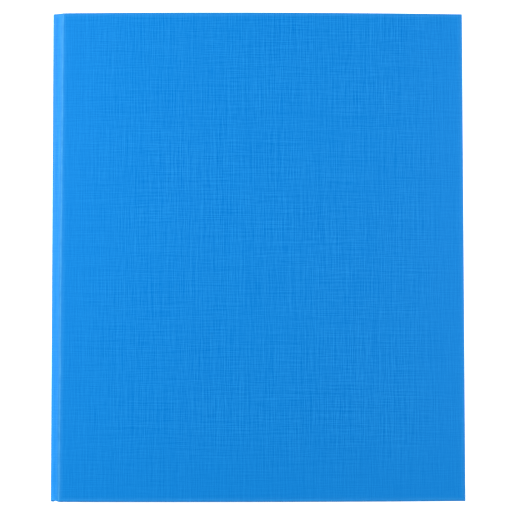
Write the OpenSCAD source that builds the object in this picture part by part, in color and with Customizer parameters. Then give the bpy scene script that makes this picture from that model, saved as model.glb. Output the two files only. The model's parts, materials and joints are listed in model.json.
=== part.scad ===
// Scrapbook album: a paper-covered board case around a four-ring binder mechanism
// that holds pocket leaves. It lies closed on its back cover.
// +Z up through the front cover, +Y to the head, +X to the fore edge, spine at -X.
// The origin is under the middle of the case, on the surface it lies on.

/* [Case] */
// Width of the closed album, from spine to fore edge
album_w = 270; // [262:1:300]
// Height of the covers, from tail to head
album_h = 320; // [318:1:340]
// Thickness over the covers at the spine
album_t = 40; // [40:0.5:44]
// Thickness of the greyboards
board_t = 2.2; // [2:0.1:2.4]
// Thickness of the covering paper
paper_t = 0.3; // [0.2:0.05:0.4]
// How far the covering paper is folded in over the boards
turn_in = 15; // [10:1:20]
// How far the lining stays back from the edges of the boards
lining_inset = 3.5; // [2:0.5:6]
// Drop of the front cover towards the fore edge, in degrees
cover_drop = 1.2; // [0.8:0.1:1.4]
// Radius of the gentle outward bow of the front cover
cover_bow_r = 2200; // [2000:50:3000]

/* [Rings] */
// Distance between neighbouring rings
ring_pitch = 80; // [78:1:80]
// Inner diameter of the rings
ring_id = 25; // [25:0.5:26]
// Diameter of the ring wire
wire_d = 3; // [2.6:0.1:3.2]
// Length of the mechanism's housing
housing_len = 270; // [260:1:290]

/* [Leaves] */
// Number of leaves in the rings
leaf_count = 8; // [1:1:8]
// Distance from leaf to leaf in the closed stack
leaf_pitch = 1.3; // [1.3:0.05:1.35]
// Height of a leaf
leaf_h = 303; // [290:1:304]
// Width of the clear pocket beside the punched strip
pocket_w = 214; // [200:1:216]
// Width of the punched strip along the binding edge
strip_w = 20; // [19:1:24]

/* [Hidden] */
arc_fn = 96;
bow_fn = 7200;
eps = 1;

// Case
lining_t = 0.5;
slab_t = paper_t + board_t + lining_t;
turned_t = paper_t + board_t + paper_t;
hinge_gap = 3.3;
spine_end = 4;
spine_x = -album_w / 2;
cover_x = spine_x + slab_t + hinge_gap;
cover_w = album_w / 2 - cover_x;
spine_w = album_t - 2 * spine_end;
pivot_in = 1.05;
pivot_x = spine_x + pivot_in;

// Strips of paper and lining across the joint gap, from the spine up to the cover
strip_from = [spine_x, album_t - spine_end + 0.3];
strip_to = [spine_x + 5.1, album_t - 0.05];
strip_inset = 0.6;
lining_start = 0.9;
glue_gap = 0.05;

// Rings, in the frame of the ring centre
ring_x = spine_x + 26;
ring_z = 18.4;
wire_r = wire_d / 2;
ring_r = ring_id / 2 + wire_r;
ring_ys = [for (i = [-1.5 : 1.5]) i * ring_pitch];
ring_split = 0.5;
ring_foot = 55;

// Housing and blades
housing_half = 11;
housing_top = 8.4;
housing_side = 5;
plate_t = 0.8;
housing_rise = housing_top - housing_side;
housing_r = (housing_half * housing_half + housing_rise * housing_rise) / (2 * housing_rise);
notch_x = 5.9;
notch_half = 2.3;
notch_z = 4.8;
blade_z = slab_t + 0.3;
blade_t = 1;
blade_x = [0.15, 9.7];
blade_half = housing_len / 2 - 4;
rivet_y = ring_pitch;
rivet_r = 2;
rivet_clear = 0.1;
rivet_head_r = 4;
rivet_foot_r = 5;
rivet_foot_t = 0.5;
rivet_recess = 0.6;
rivet_dome = 1;

// Leaves: each hangs on the ring circle, at its own distance from the ring centre
leaf_slope = 1.65;
first_offset = leaf_pitch;
film_t = 0.15;
pocket_t = 1;
strip_t = 0.6;
card_t = 0.6;
card_size = [210, leaf_h - 6];
pocket_seam = 1;
slot_r = 3.25;
slot_play = [0.4, 3.4];
binding_edge = 10.6;

RING_NODES = [for (side = ["left", "right"]) for (i = [1 : 4]) str(side, "_ring_", i)];
LEAF_NODES = [for (i = [1 : leaf_count]) for (piece = ["strip", "film", "card"]) str("leaf_", i, "_", piece)];

blue = [0.09, 0.50, 0.86];
grey = [0.56, 0.55, 0.52];
cream = [0.95, 0.94, 0.91];
steel = [0.78, 0.79, 0.80];
clear = [0.88, 0.93, 0.97, 0.35];

// ---------- Case ----------

// Part of a covered board: from x0 to x1 and half_y to each side, between the depths
// d0 and d1 under the outer face, which looks down. bow_r curves it outwards over cover_w.
module slab(x0, x1, half_y, d0, d1, bow_r = 0) {
    if (bow_r == 0) {
        translate([x0, -half_y, d0])
            cube([x1 - x0, 2 * half_y, d1 - d0]);
    } else {
        bow_z = sqrt(bow_r * bow_r - cover_w * cover_w / 4);
        translate([0, half_y, 0])
            rotate([90, 0, 0])
                linear_extrude(2 * half_y)
                    intersection() {
                        translate([cover_w / 2, bow_z])
                            difference() {
                                circle(bow_r - d0, $fn = bow_fn);
                                circle(bow_r - d1, $fn = bow_fn);
                            }
                        translate([x0, -10])
                            square([x1 - x0, 20]);
                    }
    }
}

// Greyboard, a paper's thickness inside the covering paper all round
module board(w, bow_r = 0) {
    slab(paper_t, w - paper_t, album_h / 2 - paper_t, paper_t, paper_t + board_t, bow_r);
}

// Covering paper. It covers all four edges and is turned in at the head and tail, and
// where far_turned is 1 also at the far edge. The joint edge has no turn-in.
module wrap(w, far_turned, bow_r = 0) {
    half = album_h / 2;
    window_w = w - (far_turned == 1 ? turn_in : paper_t);
    difference() {
        slab(0, w, half, 0, turned_t, bow_r);
        slab(paper_t, w - paper_t, half - paper_t, paper_t, paper_t + board_t, bow_r);
        slab(paper_t, window_w, half - turn_in, paper_t, turned_t + eps, bow_r);
    }
}

// Lining paper: thinner over the turn-ins, so that its face is flush
module lining(w, far_turned, bow_r = 0) {
    half = album_h / 2;
    window_w = w - (far_turned == 1 ? turn_in : paper_t);
    slab(0, w - far_turned * lining_inset, half - lining_inset, turned_t, slab_t, bow_r);
    slab(paper_t, window_w, half - turn_in, paper_t + board_t, turned_t, bow_r);
}

module place_back() {
    translate([cover_x, 0, 0])
        children();
}

module place_front() {
    translate([pivot_x, 0, album_t - pivot_in])
        rotate([0, cover_drop, 0])
            translate([cover_x - pivot_x, 0, pivot_in])
                mirror([0, 0, 1])
                    children();
}

module place_spine() {
    translate([spine_x, 0, spine_end])
        rotate([0, -90, 0])
            mirror([0, 0, 1])
                children();
}

module rivet_holes(r, top) {
    for (y = [-rivet_y, rivet_y])
        translate([ring_x, y, -eps])
            cylinder(r = r, h = top + eps, $fn = arc_fn);
}

module back_board() {
    color(grey)
        difference() {
            place_back() board(cover_w);
            rivet_holes(rivet_r + rivet_clear, slab_t);
            rivet_holes(rivet_foot_r + rivet_clear, rivet_recess);
        }
}

module back_cover_paper() {
    color(blue)
        difference() {
            place_back() wrap(cover_w, 1);
            rivet_holes(rivet_foot_r + rivet_clear, rivet_recess);
        }
}

module back_lining() {
    color(cream)
        difference() {
            place_back() lining(cover_w, 1);
            rivet_holes(rivet_r + rivet_clear, slab_t + eps);
        }
}

module spine_board() {
    color(grey) place_spine() board(spine_w);
}

module spine_paper() {
    color(blue) place_spine() wrap(spine_w, 0);
}

module spine_lining() {
    color(cream) place_spine() lining(spine_w, 0);
}

module front_board() {
    color(grey) place_front() board(cover_w, cover_bow_r);
}

module front_cover_paper() {
    color(blue) place_front() wrap(cover_w, 1, cover_bow_r);
}

module front_lining() {
    color(cream) place_front() lining(cover_w, 1, cover_bow_r);
}

// A strip that slopes across the joint gap, from start to its far end, between the
// depths d0 and d1 under the outer face of the paper
module hinge_strip(start, d0, d1) {
    run = strip_to - strip_from;
    along = run / norm(run);
    inward = [along[1], -along[0]];
    first = strip_from + start * along;
    half = album_h / 2 - strip_inset;
    translate([0, half, 0])
        rotate([90, 0, 0])
            linear_extrude(2 * half)
                polygon([
                    first + d0 * inward,
                    strip_to + d0 * inward,
                    strip_to + d1 * inward,
                    first + d1 * inward,
                ]);
}

// The same strip at the other end of the spine
module at_back() {
    translate([0, 0, album_t])
        mirror([0, 0, 1])
            children();
}

module hinge_paper() {
    hinge_strip(0, 0, paper_t);
}

module hinge_lining() {
    hinge_strip(lining_start, paper_t + glue_gap, paper_t + glue_gap + lining_t);
}

module front_hinge_paper() {
    color(blue) hinge_paper();
}

module front_hinge_lining() {
    color(cream) hinge_lining();
}

module back_hinge_paper() {
    color(blue) at_back() hinge_paper();
}

module back_hinge_lining() {
    color(cream) at_back() hinge_lining();
}

// ---------- Ring mechanism ----------

// Solid arch along Y, whose top passes through housing_top when inset is 0
module arch(inset, half_len) {
    translate([0, half_len, housing_top - housing_r])
        rotate([90, 0, 0])
            cylinder(r = housing_r - inset, h = 2 * half_len, $fn = 4 * arc_fn);
}

module housing_block(inset, half_len) {
    half = housing_half - inset;
    intersection() {
        arch(inset, half_len);
        translate([-half, -half_len, slab_t - (inset > 0 ? eps : 0)])
            cube([2 * half, 2 * half_len, housing_top]);
    }
}

module ring_housing() {
    color(steel)
        translate([ring_x, 0, 0])
            difference() {
                housing_block(0, housing_len / 2);
                housing_block(plate_t, housing_len / 2 + eps);
                for (y = ring_ys, side = [0, 1])
                    mirror([side, 0, 0])
                        translate([notch_x, y - notch_half, notch_z])
                            cube([housing_half, 2 * notch_half, housing_top]);
                translate([-ring_x, 0, 0])
                    rivet_holes(rivet_r + rivet_clear, housing_top + eps);
            }
}

module housing_rivets() {
    color(steel)
        for (y = [-rivet_y, rivet_y])
            translate([ring_x, y, 0]) {
                cylinder(r = rivet_foot_r, h = rivet_foot_t, $fn = arc_fn);
                cylinder(r = rivet_r, h = housing_top + rivet_dome / 2, $fn = arc_fn);
                rivet_head();
            }
}

// Domed head that sits on the arch of the housing
module rivet_head() {
    dome_r = (rivet_head_r * rivet_head_r + rivet_dome * rivet_dome) / (2 * rivet_dome);
    difference() {
        intersection() {
            translate([0, 0, housing_top + rivet_dome - dome_r])
                sphere(r = dome_r, $fn = arc_fn);
            translate([0, 0, housing_top - rivet_dome])
                cylinder(r = rivet_head_r, h = 3 * rivet_dome, $fn = arc_fn);
        }
        arch(0, 2 * rivet_head_r);
    }
}

// side is -1 on the left and 1 on the right
module on_side(side) {
    translate([ring_x, 0, 0])
        mirror([side < 0 ? 1 : 0, 0, 0])
            children();
}

module blade(side) {
    color(steel)
        on_side(side)
            difference() {
                translate([blade_x[0], -blade_half, blade_z])
                    cube([blade_x[1] - blade_x[0], 2 * blade_half, blade_t]);
                for (y = [-rivet_y, rivet_y])
                    translate([0, y, blade_z - eps])
                        cylinder(r = rivet_r + 0.8, h = blade_t + 2 * eps, $fn = arc_fn);
            }
}

// Half of one ring: an arc from the split at the top round to the foot, then a leg
// that stands on its blade
module ring_half(side, i) {
    foot = [ring_r * cos(ring_foot), ring_z - ring_r * sin(ring_foot)];
    leg_h = foot[1] - blade_z - blade_t;
    color(steel)
        on_side(side)
            translate([0, ring_ys[i - 1], 0]) {
                translate([0, 0, ring_z])
                    rotate([90, 0, 0])
                        rotate([0, 0, -ring_foot])
                            rotate_extrude(angle = 90 + ring_foot - ring_split, $fn = arc_fn)
                                translate([ring_r, 0])
                                    circle(wire_r, $fn = 32);
                translate([foot[0], 0, foot[1]])
                    sphere(wire_r, $fn = 32);
                translate([foot[0], 0, blade_z + blade_t])
                    cylinder(r = wire_r, h = leg_h, $fn = 32);
            }
}

module left_blade() {
    blade(-1);
}

module right_blade() {
    blade(1);
}

// ---------- Leaves ----------

// Plane of leaf i: its origin is where the plane meets the ring circle
module in_leaf(i) {
    offset_z = first_offset - (i - 1) * leaf_pitch;
    reach = sqrt(ring_r * ring_r - offset_z * offset_z);
    translate([ring_x, 0, ring_z])
        rotate([0, leaf_slope, 0])
            translate([reach, 0, offset_z])
                children();
}

// Punched strip with a short slot for each ring
module leaf_strip(i) {
    color(cream)
        in_leaf(i)
            difference() {
                translate([-binding_edge, -leaf_h / 2, -strip_t / 2])
                    cube([strip_w, leaf_h, strip_t]);
                for (y = ring_ys)
                    translate([0, y, -strip_t])
                        slot_hole();
            }
}

module slot_hole() {
    for (x = slot_play)
        translate([x, 0, 0])
            cylinder(r = slot_r, h = 2 * strip_t, $fn = arc_fn);
    translate([slot_play[0], -slot_r, 0])
        cube([slot_play[1] - slot_play[0], 2 * slot_r, 2 * strip_t]);
}

// Clear pocket, sealed on three sides and open at the head
module leaf_film(i) {
    color(clear)
        in_leaf(i)
            translate([strip_w - binding_edge, -leaf_h / 2, -pocket_t / 2])
                difference() {
                    cube([pocket_w, leaf_h, pocket_t]);
                    translate([pocket_seam, pocket_seam, film_t])
                        cube([pocket_w - 2 * pocket_seam, leaf_h, pocket_t - 2 * film_t]);
                }
}

// Loose page of card inside the pocket
module leaf_card(i) {
    color(cream)
        in_leaf(i)
            translate([
                strip_w - binding_edge + (pocket_w - card_size[0]) / 2,
                -leaf_h / 2 + 2 * pocket_seam,
                -card_t / 2,
            ])
                cube([card_size[0], card_size[1], card_t]);
}

back_board();
back_cover_paper();
back_lining();
spine_board();
spine_paper();
spine_lining();
front_board();
front_cover_paper();
front_lining();
back_hinge_paper();
back_hinge_lining();
front_hinge_paper();
front_hinge_lining();
ring_housing();
housing_rivets();
left_blade();
right_blade();
for (i = [1 : 4]) {
    ring_half(-1, i);
    ring_half(1, i);
}
for (i = [1 : leaf_count]) {
    leaf_strip(i);
    leaf_film(i);
    leaf_card(i);
}
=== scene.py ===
"""Looks of the scrapbook album: a linen-papered case, a ring mechanism and pocket leaves."""

import json
import math

import bmesh
import bpy
from mathutils import Euler, Matrix, Vector, noise
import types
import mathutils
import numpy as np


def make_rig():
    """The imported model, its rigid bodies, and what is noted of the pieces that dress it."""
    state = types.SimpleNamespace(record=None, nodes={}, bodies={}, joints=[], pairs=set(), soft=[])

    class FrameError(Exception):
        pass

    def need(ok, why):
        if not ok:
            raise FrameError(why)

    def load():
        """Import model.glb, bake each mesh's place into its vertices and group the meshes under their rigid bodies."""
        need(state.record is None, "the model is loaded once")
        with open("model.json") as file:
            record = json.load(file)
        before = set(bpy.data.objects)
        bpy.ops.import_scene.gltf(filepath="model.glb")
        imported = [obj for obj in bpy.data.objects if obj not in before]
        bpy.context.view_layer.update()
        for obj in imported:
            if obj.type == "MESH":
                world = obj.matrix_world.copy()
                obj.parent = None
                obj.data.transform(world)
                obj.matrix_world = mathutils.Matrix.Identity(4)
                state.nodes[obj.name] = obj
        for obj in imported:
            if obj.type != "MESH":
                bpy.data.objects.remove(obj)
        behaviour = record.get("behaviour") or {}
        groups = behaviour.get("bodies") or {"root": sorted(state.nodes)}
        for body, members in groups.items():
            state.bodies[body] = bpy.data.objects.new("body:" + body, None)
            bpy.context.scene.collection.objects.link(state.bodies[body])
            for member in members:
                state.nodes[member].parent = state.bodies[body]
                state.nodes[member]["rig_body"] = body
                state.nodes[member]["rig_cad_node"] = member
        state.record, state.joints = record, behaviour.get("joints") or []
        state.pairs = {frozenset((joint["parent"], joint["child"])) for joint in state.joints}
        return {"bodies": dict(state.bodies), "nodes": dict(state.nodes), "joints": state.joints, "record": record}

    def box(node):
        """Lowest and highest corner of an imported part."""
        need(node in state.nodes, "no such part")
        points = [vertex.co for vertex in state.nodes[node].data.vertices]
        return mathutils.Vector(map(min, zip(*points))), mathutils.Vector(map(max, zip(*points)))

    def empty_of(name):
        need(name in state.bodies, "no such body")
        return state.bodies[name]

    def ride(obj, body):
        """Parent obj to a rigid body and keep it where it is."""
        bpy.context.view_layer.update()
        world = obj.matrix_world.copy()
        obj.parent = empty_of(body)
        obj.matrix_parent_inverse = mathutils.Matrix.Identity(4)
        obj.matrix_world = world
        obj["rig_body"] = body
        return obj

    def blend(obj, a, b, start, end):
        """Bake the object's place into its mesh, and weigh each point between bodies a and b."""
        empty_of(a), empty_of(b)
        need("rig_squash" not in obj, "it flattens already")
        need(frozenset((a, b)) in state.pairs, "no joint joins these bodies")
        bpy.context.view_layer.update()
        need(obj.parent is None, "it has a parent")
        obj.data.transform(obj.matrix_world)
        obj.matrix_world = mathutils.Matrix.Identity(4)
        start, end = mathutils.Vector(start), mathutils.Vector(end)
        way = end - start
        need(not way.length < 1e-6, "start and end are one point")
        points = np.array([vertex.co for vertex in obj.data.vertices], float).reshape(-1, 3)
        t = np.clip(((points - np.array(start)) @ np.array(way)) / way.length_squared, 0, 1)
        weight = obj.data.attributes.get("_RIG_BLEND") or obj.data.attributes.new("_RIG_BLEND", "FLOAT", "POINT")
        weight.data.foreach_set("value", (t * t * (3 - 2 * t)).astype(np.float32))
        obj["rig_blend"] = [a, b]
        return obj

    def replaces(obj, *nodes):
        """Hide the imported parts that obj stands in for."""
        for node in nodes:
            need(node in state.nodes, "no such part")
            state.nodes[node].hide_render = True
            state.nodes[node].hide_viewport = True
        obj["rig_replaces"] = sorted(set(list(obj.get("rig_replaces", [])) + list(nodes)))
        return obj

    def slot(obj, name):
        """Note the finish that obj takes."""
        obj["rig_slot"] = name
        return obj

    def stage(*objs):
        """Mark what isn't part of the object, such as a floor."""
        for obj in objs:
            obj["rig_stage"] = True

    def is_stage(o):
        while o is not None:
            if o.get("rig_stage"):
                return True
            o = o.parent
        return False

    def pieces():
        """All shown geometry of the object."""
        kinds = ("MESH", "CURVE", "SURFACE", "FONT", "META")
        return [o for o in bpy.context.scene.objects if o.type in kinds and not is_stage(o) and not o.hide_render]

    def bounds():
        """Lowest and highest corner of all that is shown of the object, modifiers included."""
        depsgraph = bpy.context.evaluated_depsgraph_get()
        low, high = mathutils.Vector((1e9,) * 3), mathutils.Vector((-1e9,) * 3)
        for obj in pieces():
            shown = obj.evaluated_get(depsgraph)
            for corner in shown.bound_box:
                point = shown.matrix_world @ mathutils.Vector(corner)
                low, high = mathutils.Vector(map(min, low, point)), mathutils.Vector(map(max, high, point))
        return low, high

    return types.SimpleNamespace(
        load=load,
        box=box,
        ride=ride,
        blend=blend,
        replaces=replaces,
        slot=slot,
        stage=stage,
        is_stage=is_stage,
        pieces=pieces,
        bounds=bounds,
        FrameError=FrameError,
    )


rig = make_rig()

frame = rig.load()
cad_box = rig.bounds()

mm = 0.001
SHEET_MAP = "sheet"

# ---------- Measures taken from the frame ----------

joints = {joint["name"]: joint for joint in frame["joints"]}
front_pivot = Vector(joints["cover_fold"]["pos_m"])
back_pivot = Vector(joints["spine_fold"]["pos_m"])
back_low, back_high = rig.box("back_cover_paper")
spine_low, spine_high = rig.box("spine_paper")
cover_w = back_high.x - back_low.x
half_y = back_high.y
turned_t = back_high.z
slab_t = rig.box("back_lining")[1].z
spine_w = spine_high.z - spine_low.z

# The front cover's pose in the closed case, as in the CAD
COVER_DROP = math.radians(1.2)
COVER_BOW_R = 2200 * mm

# Covering paper
TURN_IN = 15 * mm
PAPER_T = 0.3 * mm
EDGE_R = 0.8 * mm
CORNER_R = 0.4 * mm
SMALLEST_R = 0.05 * mm
JOINT_LENGTH = 8 * mm

# Places across the one flat sheet, from the front cover's joint edge
SPINE_START = -JOINT_LENGTH - spine_w
BACK_START = SPINE_START - JOINT_LENGTH
FOLDS = (cover_w, 0.0, -JOINT_LENGTH, SPINE_START, BACK_START, BACK_START - cover_w)

# Lining paper, and the step over the edge of the turn-ins
LINING_INSET = 3.5 * mm
LINING_EDGE_R = 0.15 * mm
LINING_SINK = 0.05 * mm
STEP_W = 0.9 * mm
STEP_H = 0.1 * mm


# ---------- Camera and light ----------

CAMERA_LOCATION = (3.0 * mm, -70 * mm, 1240 * mm)
CAMERA_TILT = (3.275, 0.163, -0.05)  # degrees
CAMERA_LENS = 128.75
FLOOR_SIZE = 12
FLOOR_GAP = 0.3 * mm


def make_camera():
    data = bpy.data.cameras.new("camera")
    data.type = "PERSP"
    data.sensor_width = 36
    data.lens = CAMERA_LENS
    data.clip_start = 0.05
    data.clip_end = 50
    camera = bpy.data.objects.new("camera", data)
    camera.location = CAMERA_LOCATION
    camera.rotation_euler = Euler([math.radians(angle) for angle in CAMERA_TILT])
    bpy.context.scene.collection.objects.link(camera)
    bpy.context.scene.camera = camera


def softbox(name, location, size, watts):
    """A soft light that points at the album. The camera doesn't see it."""
    data = bpy.data.lights.new(name, "AREA")
    data.shape = "RECTANGLE"
    data.size, data.size_y = size
    data.energy = watts
    light = bpy.data.objects.new(name, data)
    light.location = location
    light.visible_camera = False
    light.rotation_euler = (-Vector(location)).to_track_quat("-Z", "Y").to_euler()
    bpy.context.scene.collection.objects.link(light)


def make_studio():
    """Two low softboxes light the album, and two small high ones give its paper a faint sheen."""
    softbox("key_left", (-0.90, 0.19, 0.56), (0.7, 0.7), 14.4)
    softbox("key_right", (0.90, 0.14, 0.60), (0.7, 0.7), 9.1)
    softbox("sheen_left", (-0.40, 0.45, 1.5), (0.3, 0.3), 0.8)
    softbox("sheen_right", (0.55, 0.1, 1.4), (0.3, 0.6), 1.9)
    world = bpy.data.worlds.new("studio")
    world.use_nodes = True
    background = world.node_tree.nodes["Background"]
    background.inputs["Color"].default_value = (1.0, 1.0, 1.0, 1.0)
    background.inputs["Strength"].default_value = 0.12
    bpy.context.scene.world = world
    bpy.context.scene.view_settings.view_transform = "Standard"


def make_floor():
    bpy.ops.mesh.primitive_plane_add(size=FLOOR_SIZE, location=(0, 0, -FLOOR_GAP))
    floor = bpy.context.object
    floor.name = "floor"
    material = bpy.data.materials.new("floor_white")
    material.use_nodes = True
    surface = material.node_tree.nodes["Principled BSDF"]
    surface.inputs["Base Color"].default_value = (0.85, 0.85, 0.85, 1.0)
    surface.inputs["Roughness"].default_value = 0.9
    surface.inputs["Specular IOR Level"].default_value = 0.1
    surface.inputs["Emission Color"].default_value = (1.0, 1.0, 1.0, 1.0)
    surface.inputs["Emission Strength"].default_value = 0.9
    floor.data.materials.append(material)
    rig.stage(floor)


# ---------- Materials ----------

# Blue linen paper: the ground, the mean and the raised threads. The threads are lighter and the ground darker, partly
# as the paper's own tone and partly as painted highlight and shade of the emboss. A lighter blue is a painted
# highlight along the crease, and along the edges partly rubbed wear, partly painted highlight
LINEN_GROUND_TONE_AND_SHADE = (0.0, 0.163, 0.570, 1)
LINEN_MIDDLE = (0.002, 0.213, 0.638, 1)
LINEN_THREAD_TONE_AND_HIGHLIGHT = (0.008, 0.263, 0.706, 1)
LINEN_HIGHLIGHT_AND_WEAR = (0.060, 0.345, 0.735, 1)

# Threads of the emboss: how many in a metre across, and how many swellings in a metre along
LONG_THREADS = (1700, 24)
SHORT_THREADS = (1500, 120)
SHORT_SHARE = 0.7
LEVEL_SHARE = 0.7
THREAD_PRESS = 0.6  # how hard a thread presses down the one beside it
THREAD_APART = 17.31  # distance in the noise between one thread and the next
DRIFT = 0.6 * mm  # how far the threads wander off a straight line

# Where handling shows: flatter emboss near the folds and the tail, and edges lighter partly as rubbed wear, partly as
# a painted highlight. Along the crease, a painted highlight
RELIEF_START = 5 * mm
RELIEF_REACH = 45 * mm
EDGE_LIGHTENING_REACH = 3.5 * mm
CREASE_PLACE = -0.5 * mm
CREASE_CORE = 0.2 * mm
CREASE_REACH = 1.3 * mm


class Shader:
    """A material's node tree, with short calls for the nodes that the materials here share."""

    def __init__(self, name):
        self.material = bpy.data.materials.new(name)
        self.material.use_nodes = True
        self.tree = self.material.node_tree
        self.surface = self.tree.nodes["Principled BSDF"]

    def node(self, kind, **values):
        made = self.tree.nodes.new(kind)
        for key, value in values.items():
            setattr(made, key, value)
        return made

    def feed(self, value, socket):
        if isinstance(value, bpy.types.NodeSocket):
            self.tree.links.new(value, socket)
        else:
            socket.default_value = value

    def math(self, operation, a, b=0.0):
        made = self.node("ShaderNodeMath", operation=operation)
        self.feed(a, made.inputs[0])
        self.feed(b, made.inputs[1])
        return made.outputs[0]

    def stretched(self, vector, scale, offset=0.0):
        mapping = self.node("ShaderNodeMapping")
        self.feed(vector, mapping.inputs["Vector"])
        mapping.inputs["Scale"].default_value = scale
        mapping.inputs["Location"].default_value = (offset, 0.7 * offset, 0.0)
        return mapping.outputs["Vector"]

    def sheet(self, scale_u, scale_v, offset=0.0):
        """Place on the flat sheet, in metres times the two scales."""
        place = self.node("ShaderNodeUVMap", uv_map=SHEET_MAP)
        return self.stretched(place.outputs["UV"], (scale_u, scale_v, 1.0), offset)

    def parts(self, vector):
        made = self.node("ShaderNodeSeparateXYZ")
        self.feed(vector, made.inputs["Vector"])
        return made.outputs["X"], made.outputs["Y"]

    def vector(self, x, y, z):
        made = self.node("ShaderNodeCombineXYZ")
        for value, socket in zip((x, y, z), made.inputs):
            self.feed(value, socket)
        return made.outputs["Vector"]

    def place(self):
        return self.node("ShaderNodeTexCoord").outputs["Object"]

    def noise(self, vector, scale=1.0, detail=1.0, roughness=0.5):
        made = self.node("ShaderNodeTexNoise")
        self.feed(vector, made.inputs["Vector"])
        made.inputs["Scale"].default_value = scale
        made.inputs["Detail"].default_value = detail
        made.inputs["Roughness"].default_value = roughness
        return made.outputs["Fac"]

    def spread(self, value, low, high, to_low=0.0, to_high=1.0):
        made = self.node("ShaderNodeMapRange", clamp=True)
        self.feed(value, made.inputs["Value"])
        made.inputs["From Min"].default_value = low
        made.inputs["From Max"].default_value = high
        made.inputs["To Min"].default_value = to_low
        made.inputs["To Max"].default_value = to_high
        return made.outputs["Result"]

    def mix(self, factor, a, b):
        made = self.node("ShaderNodeMix", data_type="RGBA")
        self.feed(factor, made.inputs[0])
        self.feed(a, made.inputs[6])
        self.feed(b, made.inputs[7])
        return made.outputs[2]

    def bump(self, height, distance, strength=1.0):
        made = self.node("ShaderNodeBump")
        made.inputs["Strength"].default_value = strength
        made.inputs["Distance"].default_value = distance
        self.feed(height, made.inputs["Height"])
        self.feed(made.outputs["Normal"], self.surface.inputs["Normal"])

    def set(self, **values):
        names = {"ior": "IOR", "specular": "Specular IOR Level"}
        for key, value in values.items():
            self.feed(value, self.surface.inputs[names.get(key, key.replace("_", " ").title())])


def linen_paper():
    """Embossed linen paper: thin threads of many lengths both ways, the upright ones a little stronger."""
    s = Shader("linen_paper")
    drift = s.math("MULTIPLY", s.noise(s.sheet(25, 25, 11.0)), DRIFT)
    u, v = (s.math("ADD", part, drift) for part in s.parts(s.sheet(1.0, 1.0)))
    upright = cloth_lines(s, u, v, 0.0, 7.0)
    level = cloth_lines(s, v, u, 31.0, 83.0)
    weave = s.spread(s.math("ADD", upright, s.math("MULTIPLY", level, LEVEL_SHARE)), 0.3, 2.3)
    weave = s.math("ADD", s.math("MULTIPLY", s.math("SUBTRACT", weave, 0.5), relief(s, u, v)), 0.5)
    cloud = s.noise(s.sheet(9, 9, 3.0), detail=3.0)
    # The threads are painted lighter and the ground darker: partly the paper's own tone, partly painted highlight and
    # shade of the emboss.
    base = s.mix(weave, LINEN_GROUND_TONE_AND_SHADE, LINEN_THREAD_TONE_AND_HIGHLIGHT)
    base = s.mix(s.spread(cloud, 0.35, 0.65, 0.0, 0.3), base, LINEN_MIDDLE)
    # Lighter blue on the crease is a painted highlight; on the edges it is partly rubbed wear, partly a painted
    # highlight.
    s.set(base_color=s.mix(crease_highlight_and_edge_wear(s), base, LINEN_HIGHLIGHT_AND_WEAR))
    s.set(roughness=s.spread(weave, 0.0, 1.0, 0.53, 0.41), specular=0.01)
    s.set(coat_weight=s.spread(weave, 0.0, 1.0, 0.03, 0.33), coat_roughness=0.46)
    s.bump(weave, 0.05 * mm, 0.6)
    return s.material


def cloth_lines(s, across, along, long_seed, short_seed):
    """Lines one way: long threads, with shorter ones among them."""
    long_lines = threads(s, across, along, *LONG_THREADS, long_seed)
    short_lines = threads(s, across, along, *SHORT_THREADS, short_seed)
    return s.math("ADD", long_lines, s.math("MULTIPLY", short_lines, SHORT_SHARE))


def threads(s, across, along, count, swellings, seed):
    """Threads side by side. Each swells and thins along its way, and presses down the one beside it."""
    place = s.math("MULTIPLY", across, count)
    which = s.math("FLOOR", place)
    run = s.math("MULTIPLY", along, swellings)
    swelling, beside = (
        s.noise(s.vector(s.math("MULTIPLY", thread, THREAD_APART), run, seed), detail=0.0)
        for thread in (which, s.math("ADD", which, 1.0))
    )
    height = s.spread(s.math("SUBTRACT", swelling, s.math("MULTIPLY", beside, THREAD_PRESS)), -0.02, 0.42)
    return s.math("MULTIPLY", height, s.spread(s.math("PINGPONG", place, 0.5), 0.0, 0.3, 0.7, 1.0))


def fold_distance(s, u):
    """How far a place across the sheet is from the nearest fold."""
    nearest = s.math("ABSOLUTE", s.math("SUBTRACT", u, FOLDS[0]))
    for fold in FOLDS[1:]:
        nearest = s.math("MINIMUM", nearest, s.math("ABSOLUTE", s.math("SUBTRACT", u, fold)))
    return nearest


def relief(s, u, v):
    """How strong the emboss is: handling has pressed it flatter beside the folds and the tail edge."""
    edge = s.math("MINIMUM", fold_distance(s, u), s.math("ADD", v, half_y))
    return s.spread(edge, RELIEF_START, RELIEF_REACH, 0.5, 1.0)


def crease_highlight_and_edge_wear(s):
    """How much lighter blue is painted: a painted highlight along the front cover's crease, and faintly along every
    edge, partly rubbed wear and partly a painted highlight.
    """
    u, v = s.parts(s.sheet(1.0, 1.0))
    patches = s.spread(s.noise(s.sheet(160, 160, 5.0), detail=3.0, roughness=0.6), 0.3, 0.7, 0.6, 1.1)
    from_crease = s.math("ABSOLUTE", s.math("SUBTRACT", u, CREASE_PLACE))
    # The band along the crease is a painted highlight.
    crease = s.spread(from_crease, CREASE_CORE, CREASE_REACH, 1.0, 0.0)
    edge = s.math("MINIMUM", fold_distance(s, u), s.math("SUBTRACT", half_y, s.math("ABSOLUTE", v)))
    lightening = s.math("MAXIMUM", crease, s.spread(edge, 0.0, EDGE_LIGHTENING_REACH, 0.35, 0.0))
    return s.math("MULTIPLY", lightening, patches)


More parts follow.
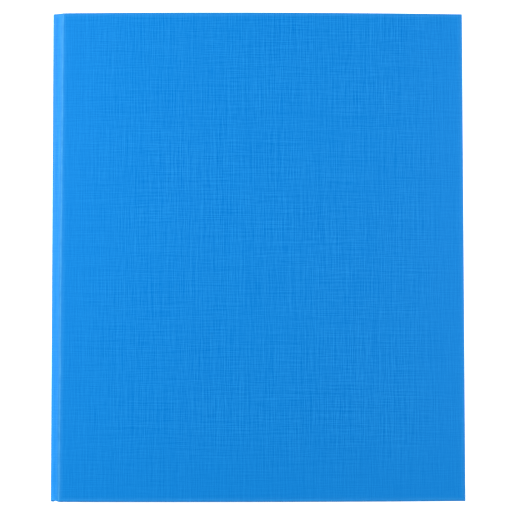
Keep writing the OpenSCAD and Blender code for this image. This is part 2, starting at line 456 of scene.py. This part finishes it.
def lining_paper():
    s = Shader("lining_paper")
    fibres = s.noise(s.place(), scale=900, detail=3.0)
    cloud = s.noise(s.place(), scale=40, detail=4.0)
    flecks = s.noise(s.place(), scale=600, detail=1.0)
    base = s.mix(s.spread(cloud, 0.3, 0.7), (0.490, 0.490, 0.475, 1), (0.525, 0.525, 0.510, 1))
    s.set(base_color=s.mix(s.spread(flecks, 0.62, 0.72, 0.0, 0.5), base, (0.40, 0.41, 0.43, 1)))
    s.set(roughness=s.spread(fibres, 0.3, 0.7, 0.62, 0.78), specular=0.3)
    s.bump(fibres, 0.03 * mm, 0.5)
    return s.material


def greyboard():
    s = Shader("greyboard")
    fibres = s.noise(s.place(), scale=1400, detail=4.0, roughness=0.7)
    flecks = s.noise(s.place(), scale=420, detail=2.0)
    base = s.mix(s.spread(fibres, 0.35, 0.65), (0.22, 0.21, 0.19, 1), (0.36, 0.35, 0.32, 1))
    s.set(base_color=s.mix(s.spread(flecks, 0.62, 0.7, 0.0, 0.6), base, (0.12, 0.11, 0.10, 1)))
    s.set(roughness=0.9, specular=0.2)
    s.bump(fibres, 0.08 * mm, 0.8)
    return s.material


def plated_steel(name, greys, grain, roughness, metallic):
    """Nickel plate: fine drawing lines along the part, and faint handling marks."""
    s = Shader(name)
    lines = s.noise(s.stretched(s.place(), (grain, grain * 0.02, grain)), detail=2.0)
    marks = s.noise(s.place(), scale=60, detail=3.0, roughness=0.5)
    low, high = ((grey, grey, grey - 0.01, 1) for grey in greys)
    s.set(base_color=s.mix(s.spread(lines, 0.3, 0.7), low, high), metallic=metallic)
    s.set(roughness=s.spread(marks, 0.35, 0.7, roughness, roughness + 0.08))
    s.bump(lines, 0.005 * mm, 0.25)
    return s.material


def clear_film():
    s = Shader("clear_film")
    waves = s.noise(s.place(), scale=24, detail=2.0)
    haze = s.noise(s.place(), scale=700, detail=2.0)
    s.set(base_color=(0.92, 0.96, 0.98, 1), ior=1.49, alpha=0.13)
    s.set(roughness=s.spread(haze, 0.3, 0.7, 0.1, 0.2))
    s.bump(waves, 0.6 * mm, 0.35)
    return s.material


def punched_strip():
    s = Shader("punched_strip")
    grain = s.noise(s.place(), scale=1600, detail=2.0)
    cloud = s.noise(s.place(), scale=30, detail=2.0)
    s.set(base_color=s.mix(s.spread(cloud, 0.3, 0.7), (0.60, 0.62, 0.63, 1), (0.66, 0.67, 0.68, 1)))
    s.set(roughness=s.spread(grain, 0.3, 0.7, 0.36, 0.5), specular=0.45)
    s.bump(grain, 0.02 * mm, 0.5)
    return s.material


def page_card():
    s = Shader("page_card")
    fibres = s.noise(s.place(), scale=1100, detail=4.0, roughness=0.6)
    cloud = s.noise(s.place(), scale=60, detail=4.0)
    flecks = s.noise(s.place(), scale=450, detail=2.0)
    base = s.mix(s.spread(cloud, 0.3, 0.7), (0.585, 0.530, 0.415, 1), (0.620, 0.570, 0.455, 1))
    s.set(base_color=s.mix(s.spread(flecks, 0.6, 0.7, 0.0, 0.5), base, (0.46, 0.40, 0.30, 1)))
    s.set(roughness=s.spread(fibres, 0.3, 0.7, 0.7, 0.85), specular=0.25)
    s.bump(fibres, 0.03 * mm, 0.6)
    return s.material


# ---------- Where the sheets lie ----------

# The front cover's face falls away a little at its joint edge, and that edge isn't quite square
SHOULDER_DROP = 0.14 * mm
SHOULDER_W = 4.5 * mm
EDGE_SKEW = 1.4 * mm
EDGE_WANDER = 0.25 * mm
WANDER_LENGTH = 13 * mm
SKEW_REACH = 40 * mm

# Unevenness of the front cover's pasted paper
SWELL_H = 0.08 * mm
SWELL_REACH = 25 * mm
SWELL_WAVES = (70 * mm, 90 * mm)


def bow_height(x):
    """How far the front cover's outer face stands out of the line between its near and far edges."""
    centre = math.sqrt(COVER_BOW_R**2 - cover_w**2 / 4)
    return math.sqrt(COVER_BOW_R**2 - (x - cover_w / 2) ** 2) - centre


def on_back(x, y, depth):
    """x from the joint edge, and depth under the outer face of the back cover."""
    return Vector((back_low.x + x, y, depth))


def on_spine(x, y, depth):
    """x up from the spine's lower edge."""
    return Vector((spine_low.x + depth, y, spine_low.z + x))


def shoulder(x):
    """How far the front cover's face lies below its bow, near the joint edge."""
    return SHOULDER_DROP * max(0.0, 1 - max(x, 0.0) / SHOULDER_W) ** 2


def skew(x, y):
    """How far a place near the joint edge lies out of square: nothing at the head, most at the tail."""
    toward_tail = (half_y - y) / (2 * half_y)
    wander = EDGE_WANDER * noise.noise(Vector((y / WANDER_LENGTH, 0.3, 8.0)))
    reach = max(0.0, 1 - max(x, 0.0) / SKEW_REACH)
    return (wander - EDGE_SKEW * toward_tail) * reach**2


def on_front(x, y, depth):
    """x from the joint edge, and depth under the outer face of the front cover."""
    height = back_pivot.z + bow_height(x) - shoulder(x) - depth
    flat = Vector((back_low.x - front_pivot.x + x + skew(x, y), y, height))
    return front_pivot + Matrix.Rotation(COVER_DROP, 3, "Y") @ flat


# ---------- Building sheets ----------

SAME_PLACE = 1e-7
END_STEPS = 3
RIBBON_ROWS = 120

# Points of a sheet across, along and round each corner
WIDE_GRID = (64, 72, 4)
NARROW_GRID = (8, 72, 4)


def make_piece(name, bm, material, body, slot, replaced, thickness=None):
    """A piece from bm, which stands for the replaced nodes. Without a body, it still has to be blended."""
    bmesh.ops.recalc_face_normals(bm, faces=bm.faces)
    mesh = bpy.data.meshes.new(name)
    bm.to_mesh(mesh)
    bm.free()
    piece = bpy.data.objects.new(name, mesh)
    bpy.context.scene.collection.objects.link(piece)
    mesh.materials.append(material)
    if thickness:
        solid = piece.modifiers.new("thickness", "SOLIDIFY")
        solid.thickness = thickness
        solid.offset = -1
    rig.slot(piece, slot)
    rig.replaces(piece, *replaced)
    if body:
        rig.ride(piece, body)
    return piece


def rounded_loop(rect, radius, counts):
    """Points of a rounded rectangle, with the same number of points at any size."""
    x0, x1, y0, y1 = rect
    along_x, along_y, in_corner = counts
    xs = [x0 + radius + (x1 - x0 - 2 * radius) * i / along_x for i in range(along_x + 1)]
    ys = [y0 + radius + (y1 - y0 - 2 * radius) * i / along_y for i in range(along_y + 1)]
    sides = [
        [(x, y0) for x in xs],
        [(x1, y) for y in ys],
        [(x, y1) for x in reversed(xs)],
        [(x0, y) for y in reversed(ys)],
    ]
    centres = [
        (x1 - radius, y0 + radius),
        (x1 - radius, y1 - radius),
        (x0 + radius, y1 - radius),
        (x0 + radius, y0 + radius),
    ]
    points = []
    for k, (side, (cx, cy)) in enumerate(zip(sides, centres)):
        points += side
        for j in range(1, in_corner):
            angle = math.radians(-90 + 90 * k + 90 * j / in_corner)
            points.append((cx + radius * math.cos(angle), cy + radius * math.sin(angle)))
    return points


class Sheet:
    """Paper laid over a board, ring by ring from its middle. Each point has its place on the flat sheet."""

    def __init__(self, width, place, sheet_start, sheet_way, counts):
        self.width = width
        self.place = place
        self.sheet_start = sheet_start
        self.sheet_way = sheet_way
        self.counts = counts
        self.bm = bmesh.new()
        self.map = self.bm.loops.layers.uv.new(SHEET_MAP)
        self.flat = {}
        self.rings = []

    def vertex(self, x, y, depth, flat):
        made = self.bm.verts.new(self.place(x, y, depth))
        self.flat[made] = (self.sheet_start + self.sheet_way * flat[0], flat[1])
        return made

    def face(self, *vertices):
        made = self.bm.faces.new(vertices)
        made.smooth = True
        for corner in made.loops:
            corner[self.map].uv = self.flat[corner.vert]

    def outline(self, insets):
        near, far, ends = insets
        return near, self.width - far, -half_y + ends, half_y - ends

    def ring(self, insets, depth, run):
        """A ring of points inside the outline. insets are from the near, far and end edges, and run is how
        much further out the points lie on the flat paper."""
        radius = max(CORNER_R - min(insets), SMALLEST_R)
        at = rounded_loop(self.outline(insets), radius, self.counts)
        flat = rounded_loop(self.outline([inset - run for inset in insets]), radius + run, self.counts)
        made = [self.vertex(x, y, depth, uv) for (x, y), uv in zip(at, flat)]
        if self.rings:
            last = self.rings[-1]
            for i in range(len(made)):
                k = (i + 1) % len(made)
                self.face(last[i], last[k], made[k], made[i])
        self.rings.append(made)

    def fill(self, insets, depth, lift=None):
        """A grid inside the first ring."""
        along_x, along_y, in_corner = self.counts
        x0, x1, y0, y1 = self.outline(insets)
        rows = []
        for j in range(along_y + 1):
            y = y0 + (y1 - y0) * j / along_y
            row = []
            for i in range(along_x + 1):
                x = x0 + (x1 - x0) * i / along_x
                row.append(self.vertex(x, y, depth - (lift(x, y) if lift else 0.0), (x, y)))
            rows.append(row)
        for j in range(along_y):
            for i in range(along_x):
                self.face(rows[j][i], rows[j][i + 1], rows[j + 1][i + 1], rows[j + 1][i])
        near_side = [row[0] for row in rows]
        far_side = [row[-1] for row in rows]
        edges = [rows[0], far_side, rows[-1][::-1], near_side[::-1]]
        first = self.rings[0]
        start = 0
        for edge in edges:
            last = len(edge) - 1
            for i in range(last):
                self.face(first[start + i], first[start + i + 1], edge[i + 1], edge[i])
            for i in range(start + last, start + last + in_corner):
                self.face(first[i], first[(i + 1) % len(first)], edge[-1])
            start += last + in_corner


def swell(x, y):
    """Faint unevenness of the pasted paper, which dies out towards the edges."""
    edge = min(x, cover_w - x, half_y - abs(y)) / SWELL_REACH
    wave = noise.noise(Vector((x / SWELL_WAVES[0], y / SWELL_WAVES[1], 4.0)))
    return SWELL_H * wave * max(0.0, min(1.0, edge))


def round_edge(sheet, steps=6):
    """From the outer face round the edges to the inner face. Returns how much paper that takes."""
    quarter = math.pi / 2
    wall = turned_t - 2 * EDGE_R
    for k in range(steps + 1):
        angle = quarter * k / steps
        inset = EDGE_R * (1 - math.sin(angle))
        run = EDGE_R * (angle - math.sin(angle))
        sheet.ring([inset] * 3, EDGE_R * (1 - math.cos(angle)), run)
    for k in range(steps + 1):
        angle = quarter * k / steps
        inset = EDGE_R * (1 - math.cos(angle))
        run = EDGE_R * (quarter - 1) + wall + EDGE_R * angle + inset
        sheet.ring([inset] * 3, turned_t - EDGE_R + EDGE_R * math.sin(angle), run)
    return EDGE_R * (2 * quarter - 1) + wall + EDGE_R


def covering(body, width, place, sheet_start, sheet_way, far_turned, counts, lift=None):
    """Covering paper of one board: outer face, rounded edges, and turn-ins where the paper is folded in."""
    sheet = Sheet(width, place, sheet_start, sheet_way, counts)
    sheet.ring([2 * EDGE_R] * 3, 0.0, 0.0)
    sheet.fill([4 * EDGE_R] * 3, 0.0, lift)
    run = round_edge(sheet)
    plain = 2 * EDGE_R
    turned = [plain, TURN_IN if far_turned else plain, TURN_IN]
    sheet.ring(turned, turned_t, run + plain)
    make_piece(body + "_skin", sheet.bm, linen, body, "cover_paper", [body + "_paper"], thickness=PAPER_T)


def lining_sheet(side, body, width, place, far_turned, counts):
    """Lining paper inside one board. The edge of the turn-ins shows through it as a faint step."""
    sheet = Sheet(width, place, 0.0, 1, counts)
    fold = 2 * EDGE_R
    window = [fold, TURN_IN if far_turned else fold, TURN_IN]
    sheet.ring([inset + STEP_W for inset in window], slab_t - STEP_H, 0.0)
    sheet.fill([inset + 3 * STEP_W for inset in window], slab_t - STEP_H)
    sheet.ring(window, slab_t, 0.0)
    edge = [0.0, LINING_INSET if far_turned else 0.0, LINING_INSET]
    for k in range(END_STEPS + 1):
        angle = math.pi / 2 * k / END_STEPS
        drop = LINING_EDGE_R * (1 - math.sin(angle))
        sheet.ring([inset + drop for inset in edge], slab_t - LINING_EDGE_R * (1 - math.cos(angle)), 0.0)
    sheet.ring(edge, turned_t - LINING_SINK, 0.0)
    replaced = [side + "_lining"]
    make_piece(side + "_inside", sheet.bm, lining, body, "lining_paper", replaced, thickness=LINING_EDGE_R)


def spline(points, steps=6):
    """A smooth line through points."""
    line = []
    for i in range(len(points) - 1):
        before = points[max(i - 1, 0)]
        a, b = points[i], points[i + 1]
        after = points[min(i + 2, len(points) - 1)]
        for k in range(steps):
            t = k / steps
            bend = a * 2 + (b - before) * t
            bend += (before * 2 - a * 5 + b * 4 - after) * t**2
            bend += (a * 3 - before - b * 3 + after) * t**3
            line.append(bend / 2)
    return line + [points[-1]]


def end_steps(thickness):
    """A ribbon's rounded end: how far in each step lies, and its share of the full thickness."""
    angles = [math.pi / 2 * k / END_STEPS for k in range(END_STEPS + 1)]
    return [(thickness / 2 * (1 - math.cos(angle)), math.sin(angle)) for angle in angles]


def ribbon_stations(span, thickness):
    """Places along a ribbon, with the share of the full thickness at each."""
    start, end = span
    length = end - start - 2 * thickness
    first = [(start + inset, share) for inset, share in end_steps(thickness)]
    between = [(start + thickness + length * k / RIBBON_ROWS, 1.0) for k in range(RIBBON_ROWS + 1)]
    last = [(end - inset, share) for inset, share in reversed(end_steps(thickness))]
    return first + between + last


def ribbon(name, line_at, span, thickness, inward, material, slot, replaced, sheet_x):
    """A strip of paper along Y. line_at(y) is its line there, and its thickness is on the inward side. Its
    tail end is cut at a slant, shorter at the start of the line."""
    bm = bmesh.new()
    sheet_map = bm.loops.layers.uv.new(SHEET_MAP)
    flat = {}
    sections = []
    for y, share in ribbon_stations(span, thickness):
        line = line_at(y)
        last = len(line) - 1
        ways = [(line[min(i + 1, last)] - line[max(i - 1, 0)]).normalized() for i in range(last + 1)]
        half = inward * thickness / 2
        middle = [point + half * Vector((-way.z, 0, way.x)) for point, way in zip(line, ways)]
        runs = [0.0]
        for a, b in zip(line, line[1:]):
            runs.append(runs[-1] + (b - a).length)
        near_tail = max(0.0, 1 - (y - span[0]) / SLANT_REACH)
        section = []
        for way in (1, -1):
            for i in range(last + 1)[::way]:
                point = middle[i] + (line[i] - middle[i]) * way * share
                slant = TAIL_SLANT * near_tail * (1 - runs[i] / runs[-1])
                vertex = bm.verts.new((point.x, y + slant, point.z))
                flat[vertex] = (sheet_x[0] + (sheet_x[1] - sheet_x[0]) * runs[i] / runs[-1], y)
                section.append(vertex)
        sections.append(section)
    count = len(sections[0])
    for a, b in zip(sections, sections[1:]):
        for i in range(count):
            k = (i + 1) % count
            face = bm.faces.new((a[i], a[k], b[k], b[i]))
            face.smooth = True
            for corner in face.loops:
                corner[sheet_map].uv = flat[corner.vert]
    bmesh.ops.remove_doubles(bm, verts=bm.verts, dist=SAME_PLACE)
    return make_piece(name, bm, material, None, slot, replaced)


# ---------- The case ----------

# Outer face of the joint paper: (x, depth) in mm past the spine's edge, then before the cover's edge
PAPER_SPINE_SIDE = [(-1.3, 0.10), (-0.95, 0.03), (-0.6, 0.0), (-0.1, 0.05), (0.35, 0.25), (0.68, 0.6)]
PAPER_COVER_SIDE = [
    (-3.3, 1.96),
    (-1.3, 0.66),
    (-0.8, 0.36),
    (-0.3, 0.14),
    (0.3, 0.02),
    (1.0, 0.0),
    (1.6, 0.10),
]
PAPER_SPAN = (-159.9 * mm, 159.8 * mm)
TAIL_SLANT = 1.5 * mm
SLANT_REACH = 12 * mm

# Inner face of the lining in the joint, in the same way
LINING_SPINE_SIDE = [(-0.9, 2.93), (-0.3, 3.02), (0.2, 3.05), (0.8, 3.1)]
LINING_COVER_SIDE = [
    (-2.5, 2.15),
    (-1.4, 1.75),
    (-0.6, 1.9),
    (-0.15, 2.6),
    (0.05, 3.02),
    (0.5, 3.02),
    (1.0, 2.93),
]
LINING_SPAN = (-156.4 * mm, 156.4 * mm)
JOINT_LINING_T = 0.15 * mm


def make_case():
    """Covers and spine. One sheet of paper covers them all: its places along X start at the front cover."""
    covering("front_cover", cover_w, on_front, 0.0, 1, True, WIDE_GRID, swell)
    covering("back_cover", cover_w, on_back, BACK_START, -1, True, WIDE_GRID)
    covering("spine", spine_w, on_spine, SPINE_START, 1, False, NARROW_GRID)
    lining_sheet("front", "front_cover", cover_w, on_front, True, WIDE_GRID)
    lining_sheet("back", "back_cover", cover_w, on_back, True, WIDE_GRID)
    lining_sheet("spine", "spine", spine_w, on_spine, False, NARROW_GRID)
    make_joint("front", "front_cover", on_front, spine_w, 1, (-JOINT_LENGTH, 0.0))
    make_joint("back", "back_cover", on_back, 0.0, -1, (SPINE_START, BACK_START))


def joint_line(spine_side, cover_side, on_cover, spine_edge, way, y):
    """A smooth line across the joint gap at y, through the points given for its two sides."""
    points = [on_spine(spine_edge + way * x * mm, y, depth * mm) for x, depth in spine_side]
    return spline(points + [on_cover(x * mm, y, depth * mm) for x, depth in cover_side])


def make_joint(side, cover, on_cover, spine_edge, way, sheet_x):
    """Covering paper and lining across one joint gap. They bend between the spine and the cover."""
    tail_edge = on_cover(0, -half_y, 0)
    cover_edge = Vector((tail_edge.x, 0, tail_edge.z))
    paper = ribbon(
        side + "_joint_paper",
        lambda y: joint_line(PAPER_SPINE_SIDE, PAPER_COVER_SIDE, on_cover, spine_edge, way, y),
        PAPER_SPAN,
        PAPER_T,
        -way,
        linen,
        "cover_paper",
        [side + "_hinge_paper"],
        sheet_x,
    )
    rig.blend(paper, "spine", cover, on_spine(spine_edge, 0, PAPER_T), cover_edge)
    inner = ribbon(
        side + "_joint_lining",
        lambda y: joint_line(LINING_SPINE_SIDE, LINING_COVER_SIDE, on_cover, spine_edge, way, y),
        LINING_SPAN,
        JOINT_LINING_T,
        way,
        lining,
        "lining_paper",
        [side + "_hinge_lining"],
        sheet_x,
    )
    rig.blend(inner, "spine", cover, on_spine(spine_edge, 0, slab_t), on_cover(0, 0, slab_t))


# ---------- Leaves ----------

LEAF_SLOPE = math.radians(1.65)
POCKET_W = 214 * mm
FILM_T = 0.06 * mm
WELD_W = 3 * mm
WELD_HALF = 0.1 * mm
POCKET_HALF = 0.4 * mm
POCKET_FLARE = 6 * mm
POCKET_WAVE_H = 0.05 * mm
POCKET_WAVES = (45 * mm, 60 * mm)
RIB_H = 0.08 * mm
RIB_START = 1.2 * mm
RIB_END = 1.8 * mm


def pocket_lines(low, high, count):
    """Grid lines across a pocket, closer together at its welded edges."""
    near = [0.0, 1.0 * mm, 1.5 * mm, 2.0 * mm, WELD_W, WELD_W + 1.5 * mm, WELD_W + 3 * mm]
    inner = WELD_W + POCKET_FLARE
    between = [low + inner + (high - low - 2 * inner) * i / count for i in range(count + 1)]
    return [low + step for step in near] + between + [high - step for step in reversed(near)]


def pocket_bulge(x, y, half_w, half_h, seed):
    """Half the pocket's thickness: flat and ribbed along the welds, open at the head."""
    inside = min(half_w - abs(x), half_h + y)
    rib = RIB_H if RIB_START < inside < RIB_END else 0.0
    rise = max(0.0, min(1.0, (inside - WELD_W) / POCKET_FLARE))
    wave = noise.noise(Vector((x / POCKET_WAVES[0], y / POCKET_WAVES[1], seed)))
    full = POCKET_HALF - WELD_HALF + POCKET_WAVE_H * wave
    return WELD_HALF + rib + rise * rise * (3 - 2 * rise) * full


def make_pocket(i):
    """Clear pocket of leaf i: two walls joined at the near, tail and far edges."""
    node = f"leaf_{i}_film"
    low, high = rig.box(node)
    centre = (low + high) / 2
    half_w, half_h = POCKET_W / 2, (high.y - low.y) / 2
    turn = Matrix.Rotation(LEAF_SLOPE, 3, "Y")
    xs = pocket_lines(-half_w, half_w, 16)
    ys = pocket_lines(-half_h, half_h, 24)
    bm = bmesh.new()
    walls = []
    for side in (1, -1):
        rows = []
        for y in ys:
            row = []
            for x in xs:
                bulge = pocket_bulge(x, y, half_w, half_h, i + 0.4 * side)
                row.append(bm.verts.new(centre + turn @ Vector((x, y, side * bulge))))
            rows.append(row)
        for a, b in zip(rows, rows[1:]):
            for k in range(len(xs) - 1):
                bm.faces.new((a[k], a[k + 1], b[k + 1], b[k])[::side])
        walls.append([[row[0] for row in reversed(rows)], rows[0], [row[-1] for row in rows]])
    for top, bottom in zip(*walls):
        for k in range(len(top) - 1):
            bm.faces.new((top[k + 1], top[k], bottom[k], bottom[k + 1]))
    bmesh.ops.remove_doubles(bm, verts=bm.verts, dist=SAME_PLACE)
    for face in bm.faces:
        face.smooth = True
    film = looks["clear_film"]
    make_piece(f"leaf_{i}_pocket", bm, film, f"leaf_{i}", "clear_film", [node], thickness=FILM_T)


# ---------- Metal parts and plain parts ----------

RIVET_FOOT_R = 5 * mm
RIVET_CLEAR = 0.1 * mm
RIVET_RECESS = 0.6 * mm
METAL_EDGE_R = 0.15 * mm
STRIP_EDGE_R = 0.12 * mm
SHARP_ANGLE = math.radians(40)


def soften(node, radius, segments=2):
    """Small rounded edges on a part that is shown as it is."""
    bevel = node.modifiers.new("soft_edges", "BEVEL")
    bevel.width = radius
    bevel.segments = segments
    bevel.limit_method = "ANGLE"
    bevel.angle_limit = SHARP_ANGLE
    bevel.harden_normals = True


def cut_rivet_holes(skin):
    """Opens the back cover's paper over the rivets' feet."""
    low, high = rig.box("housing_rivets")
    feet = bmesh.new()
    for y in (low.y, high.y):
        centre = ((low.x + high.x) / 2, y - math.copysign(RIVET_FOOT_R, y), 0.0)
        bmesh.ops.create_cone(
            feet,
            cap_ends=True,
            segments=64,
            radius1=RIVET_FOOT_R + RIVET_CLEAR,
            radius2=RIVET_FOOT_R + RIVET_CLEAR,
            depth=2 * RIVET_RECESS,
            matrix=Matrix.Translation(centre),
        )
    mesh = bpy.data.meshes.new("rivet_feet")
    feet.to_mesh(mesh)
    feet.free()
    cutter = bpy.data.objects.new("rivet_feet", mesh)
    bpy.context.scene.collection.objects.link(cutter)
    cut = skin.modifiers.new("rivet_holes", "BOOLEAN")
    cut.operation = "DIFFERENCE"
    cut.solver = "EXACT"
    cut.object = cutter
    bpy.context.view_layer.update()
    done = bpy.data.meshes.new_from_object(skin.evaluated_get(bpy.context.evaluated_depsgraph_get()))
    skin.modifiers.clear()
    skin.data = done
    bpy.data.objects.remove(cutter)


make_camera()
make_studio()
make_floor()

linen = linen_paper()
lining = lining_paper()
looks = {
    "cover_paper": linen,
    "lining_paper": lining,
    "greyboard": greyboard(),
    "nickel_steel": plated_steel("nickel_steel", (0.78, 0.88), grain=900, roughness=0.36, metallic=0.7),
    "ring_wire": plated_steel("ring_wire", (0.70, 0.80), grain=500, roughness=0.14, metallic=1.0),
    "rivet_steel": plated_steel("rivet_steel", (0.55, 0.66), grain=700, roughness=0.3, metallic=0.9),
    "punched_strip": punched_strip(),
    "clear_film": clear_film(),
    "page_card": page_card(),
}

for row in frame["record"]["subparts"]:
    node = frame["nodes"][row["node"]]
    node.data.materials.clear()
    node.data.materials.append(looks[row["material_slot"]])

make_case()
cut_rivet_holes(bpy.data.objects["back_cover_skin"])
leaf_count = sum(name.endswith("_film") for name in frame["nodes"])
for leaf in range(1, leaf_count + 1):
    make_pocket(leaf)
    soften(frame["nodes"][f"leaf_{leaf}_strip"], STRIP_EDGE_R)
for name, node in frame["nodes"].items():
    if "ring" in name or "rivet" in name or "blade" in name:
        soften(node, METAL_EDGE_R)

with open("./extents.json", "w") as sizes:
    boxes = {"cad": cad_box, "visual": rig.bounds()}
    json.dump({key: [list(corner) for corner in box] for key, box in boxes.items()}, sizes)
